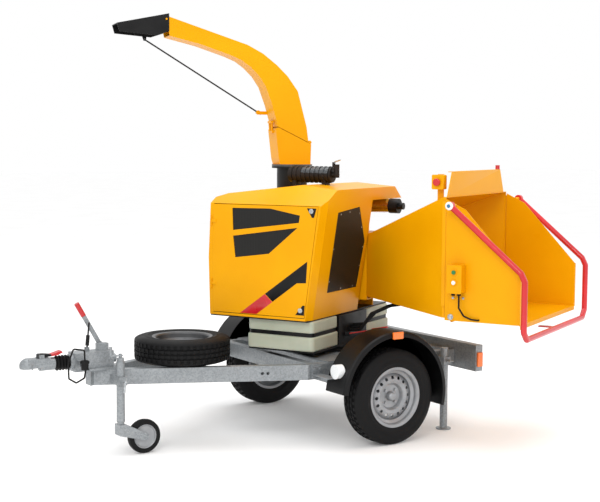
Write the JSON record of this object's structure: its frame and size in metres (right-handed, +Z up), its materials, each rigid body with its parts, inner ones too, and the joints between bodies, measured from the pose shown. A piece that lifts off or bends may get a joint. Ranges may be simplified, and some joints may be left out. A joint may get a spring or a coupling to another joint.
{
  "type": "towed wood chipper",
  "caption": "Single-axle trailer carrying a slewing wood chipper with a wide feed hopper, red safety bar and arched discharge spout.",
  "frame": {"origin": "middle of the outline at ground level", "axes": "+X to the rear of the trailer, +Y to its right-hand side seen from the drawbar looking back, +Z up"},
  "size_m": [3.4869, 2.3124, 2.614],
  "materials": {
    "paint_yellow": "gloss",
    "galvanised": "satin",
    "tyre_rubber": "matte",
    "wheel_silver": "satin",
    "black_plastic": "matte",
    "black_steel": "satin",
    "red_paint": "gloss",
    "tank_plastic": "matte",
    "lens_red": "gloss",
    "lens_amber": "gloss",
    "lens_white": "gloss",
    "rubber": "matte",
    "iron": "matte",
    "green_plastic": "gloss",
    "white_plastic": "gloss",
    "red_plastic": "gloss",
    "steel": "satin",
    "yellow_plastic": "gloss"
  },
  "bodies": {
    "chassis": {"chassis_frame": "galvanised", "axle_tube": "galvanised", "mudguards": "black_plastic", "front_reflectors": "lens_white", "light_board": "galvanised", "rear_lamps": "lens_red", "side_markers": "lens_amber", "overrun_housing": "galvanised", "bellows": "rubber", "brake_rod": "galvanised", "towing_plug": "black_plastic", "stand_clamps": "galvanised", "spare_tyre": "tyre_rubber", "spare_rim": "wheel_silver", "slew_ring": "black_steel"},
    "wheel_near": {"road_tyre_near": "tyre_rubber", "road_rim_near": "wheel_silver"},
    "wheel_far": {"road_tyre_far": "tyre_rubber", "road_rim_far": "wheel_silver"},
    "coupling": {"coupling_head": "galvanised"},
    "coupling_latch": {"coupling_handle": "red_plastic"},
    "handbrake": {"handbrake_lever": "galvanised"},
    "strut": {"spring_strut": "black_steel"},
    "clamp_toggle": {"jockey_clamp_toggle": "steel"},
    "jockey_tube": {"jockey_outer_tube": "galvanised"},
    "jockey_crank_body": {"jockey_crank": "galvanised"},
    "jockey_fork_body": {"jockey_fork": "galvanised"},
    "jockey_wheel_body": {"jockey_wheel": "rubber"},
    "prop": {"prop_stand": "galvanised"},
    "superstructure": {"base_frame": "black_steel", "lower_tanks": "tank_plastic", "upper_tanks": "tank_plastic", "hood_shell": "paint_yellow", "front_grille": "black_steel", "engine": "iron", "chipper_housing": "black_steel", "feed_box": "paint_yellow", "air_filter": "steel", "hopper_funnel": "paint_yellow", "stop_box": "yellow_plastic", "hydraulic_hoses": "rubber", "silencer": "black_steel"},
    "side_door": {"hood_door": "paint_yellow", "door_latches": "steel"},
    "disc": {"chipper_disc": "iron"},
    "lower_roller": {"lower_feed_roller": "iron"},
    "swing_frame": {"roller_swing_frame": "paint_yellow"},
    "upper_roller": {"upper_feed_roller": "iron"},
    "fold_table": {"hopper_table": "paint_yellow", "control_box": "yellow_plastic"},
    "bar": {"safety_bar": "red_paint"},
    "start": {"start_button": "green_plastic"},
    "stop": {"stop_button": "white_plastic"},
    "mushroom": {"mushroom_button": "red_plastic"},
    "slew_lock": {"slew_lock_lever": "red_paint"},
    "cap": {"rain_cap": "black_steel"},
    "spout_base": {"chute_elbow": "paint_yellow"},
    "spout": {"chute_arch": "paint_yellow"},
    "flap": {"deflector_flap": "black_steel"},
    "flap_rod": {"control_rod": "black_steel"}
  },
  "joints": [
    {"name": "near_wheel_spin", "type": "hinge", "parent": "chassis", "child": "wheel_near", "pos_m": [0.30854, -0.36681, 0.289], "axis": [0, 1, 0], "continuous": true},
    {"name": "far_wheel_spin", "type": "hinge", "parent": "chassis", "child": "wheel_far", "pos_m": [0.30854, 1.04319, 0.289], "axis": [0, 1, 0], "continuous": true},
    {"name": "overrun_slide", "type": "slide", "parent": "chassis", "child": "coupling", "axis": [1, 0, 0], "range_m": [0, 0.055], "deforming": ["bellows"]},
    {"name": "coupling_latch_hinge", "type": "hinge", "parent": "coupling", "child": "coupling_latch", "pos_m": [-1.62146, 0.33819, 0.594], "axis": [0, -1, 0], "range_deg": [0, 32]},
    {"name": "handbrake_hinge", "type": "hinge", "parent": "chassis", "child": "handbrake", "pos_m": [-1.23646, 0.37819, 0.625], "axis": [0, 1, 0], "range_deg": [-25, 25]},
    {"name": "strut_hinge", "type": "hinge", "parent": "chassis", "child": "strut", "pos_m": [-1.33146, 0.35219, 0.612], "axis": [0, 1, 0], "range_deg": [-23, 23]},
    {"name": "clamp_toggle_turn", "type": "hinge", "parent": "chassis", "child": "clamp_toggle", "pos_m": [-1.19846, 0.11919, 0.44], "axis": [0, 1, 0], "continuous": true},
    {"name": "jockey_height", "type": "slide", "parent": "chassis", "child": "jockey_tube", "axis": [0, 0, 1], "range_m": [0, 0.15]},
    {"name": "jockey_crank_turn", "type": "hinge", "parent": "jockey_tube", "child": "jockey_crank_body", "pos_m": [-1.19846, 0.18319, 0.59], "axis": [0, 0, 1], "continuous": true},
    {"name": "jockey_swivel", "type": "hinge", "parent": "jockey_tube", "child": "jockey_fork_body", "pos_m": [-1.19846, 0.18319, 0.15], "axis": [0, 0, 1], "continuous": true},
    {"name": "jockey_wheel_spin", "type": "hinge", "parent": "jockey_fork_body", "child": "jockey_wheel_body", "pos_m": [-1.05246, 0.18319, 0.1], "axis": [0, 1, 0], "continuous": true},
    {"name": "prop_height", "type": "slide", "parent": "chassis", "child": "prop", "axis": [0, 0, 1], "range_m": [0, 0.15]},
    {"name": "slew_turn", "type": "hinge", "parent": "chassis", "child": "superstructure", "pos_m": [0.30854, 0.33819, 0.516], "axis": [0, 0, 1], "range_deg": [-73, 197]},
    {"name": "side_door_hinge", "type": "hinge", "parent": "superstructure", "child": "side_door", "pos_m": [-0.43459, 0.49122, 1], "axis": [0, 0, -1], "range_deg": [0, 100]},
    {"name": "disc_spin", "type": "hinge", "parent": "superstructure", "child": "disc", "pos_m": [0.42084, 0.76599, 1.01], "axis": [0.4695, -0.8829, 0], "continuous": true},
    {"name": "lower_roller_spin", "type": "hinge", "parent": "superstructure", "child": "lower_roller", "pos_m": [0.53625, 0.39131, 0.875], "axis": [0.8829, 0.4695, 0], "continuous": true},
    {"name": "roller_swing", "type": "hinge", "parent": "superstructure", "child": "swing_frame", "pos_m": [0.494, 0.47078, 1.18], "axis": [-0.8829, -0.4695, 0], "range_deg": [0, 18]},
    {"name": "upper_roller_spin", "type": "hinge", "parent": "swing_frame", "child": "upper_roller", "pos_m": [0.53625, 0.39131, 1.085], "axis": [0.8829, 0.4695, 0], "continuous": true},
    {"name": "table_fold", "type": "hinge", "parent": "superstructure", "child": "fold_table", "pos_m": [0.96629, -0.41747, 0.757], "axis": [-0.8829, -0.4695, 0], "range_deg": [0, 75]},
    {"name": "safety_bar_swing", "type": "hinge", "parent": "fold_table", "child": "bar", "pos_m": [0.98694, -0.45632, 1.447], "axis": [0.8829, 0.4695, 0], "range_deg": [-2, 6]},
    {"name": "start_press", "type": "slide", "parent": "fold_table", "child": "start", "axis": [0.8829, 0.4695, 0], "range_m": [0, 0.004], "stiffness_N_per_m": 700},
    {"name": "stop_press", "type": "slide", "parent": "fold_table", "child": "stop", "axis": [0.8829, 0.4695, 0], "range_m": [0, 0.004], "stiffness_N_per_m": 700},
    {"name": "mushroom_press", "type": "slide", "parent": "superstructure", "child": "mushroom", "axis": [0.8829, 0.4695, 0], "range_m": [0, 0.004], "stiffness_N_per_m": 900},
    {"name": "slew_lock_hinge", "type": "hinge", "parent": "superstructure", "child": "slew_lock", "pos_m": [0.32869, 0.08728, 0.604], "axis": [-0.8829, -0.4695, 0], "range_deg": [0, 30]},
    {"name": "rain_cap_hinge", "type": "hinge", "parent": "superstructure", "child": "cap", "pos_m": [0.24464, 0.13886, 1.68], "axis": [-0.8829, -0.4695, 0], "range_deg": [0, 60]},
    {"name": "spout_swivel", "type": "hinge", "parent": "superstructure", "child": "spout_base", "pos_m": [0.29282, 0.69792, 1.65], "axis": [0, 0, 1], "continuous": true},
    {"name": "spout_fold", "type": "hinge", "parent": "spout_base", "child": "spout", "pos_m": [0.38647, 0.67265, 1.808], "axis": [0.2605, 0.9655, 0], "range_deg": [0, 60]},
    {"name": "flap_tilt", "type": "hinge", "parent": "spout", "child": "flap", "pos_m": [-0.54135, 0.92299, 2.578], "axis": [-0.2605, -0.9655, 0], "range_deg": [-10, 35]},
    {"name": "flap_rod_slide", "type": "slide", "parent": "spout", "child": "flap_rod", "axis": [0.8272, -0.2232, -0.5156], "range_m": [-0.03, 0.1]}
  ],
  "couplings": [
    {"joint": "strut_hinge", "follows": "handbrake_hinge", "ratio": 0.9},
    {"joint": "flap_rod_slide", "follows": "flap_tilt", "m_per_rad": 0.1525}
  ]
}
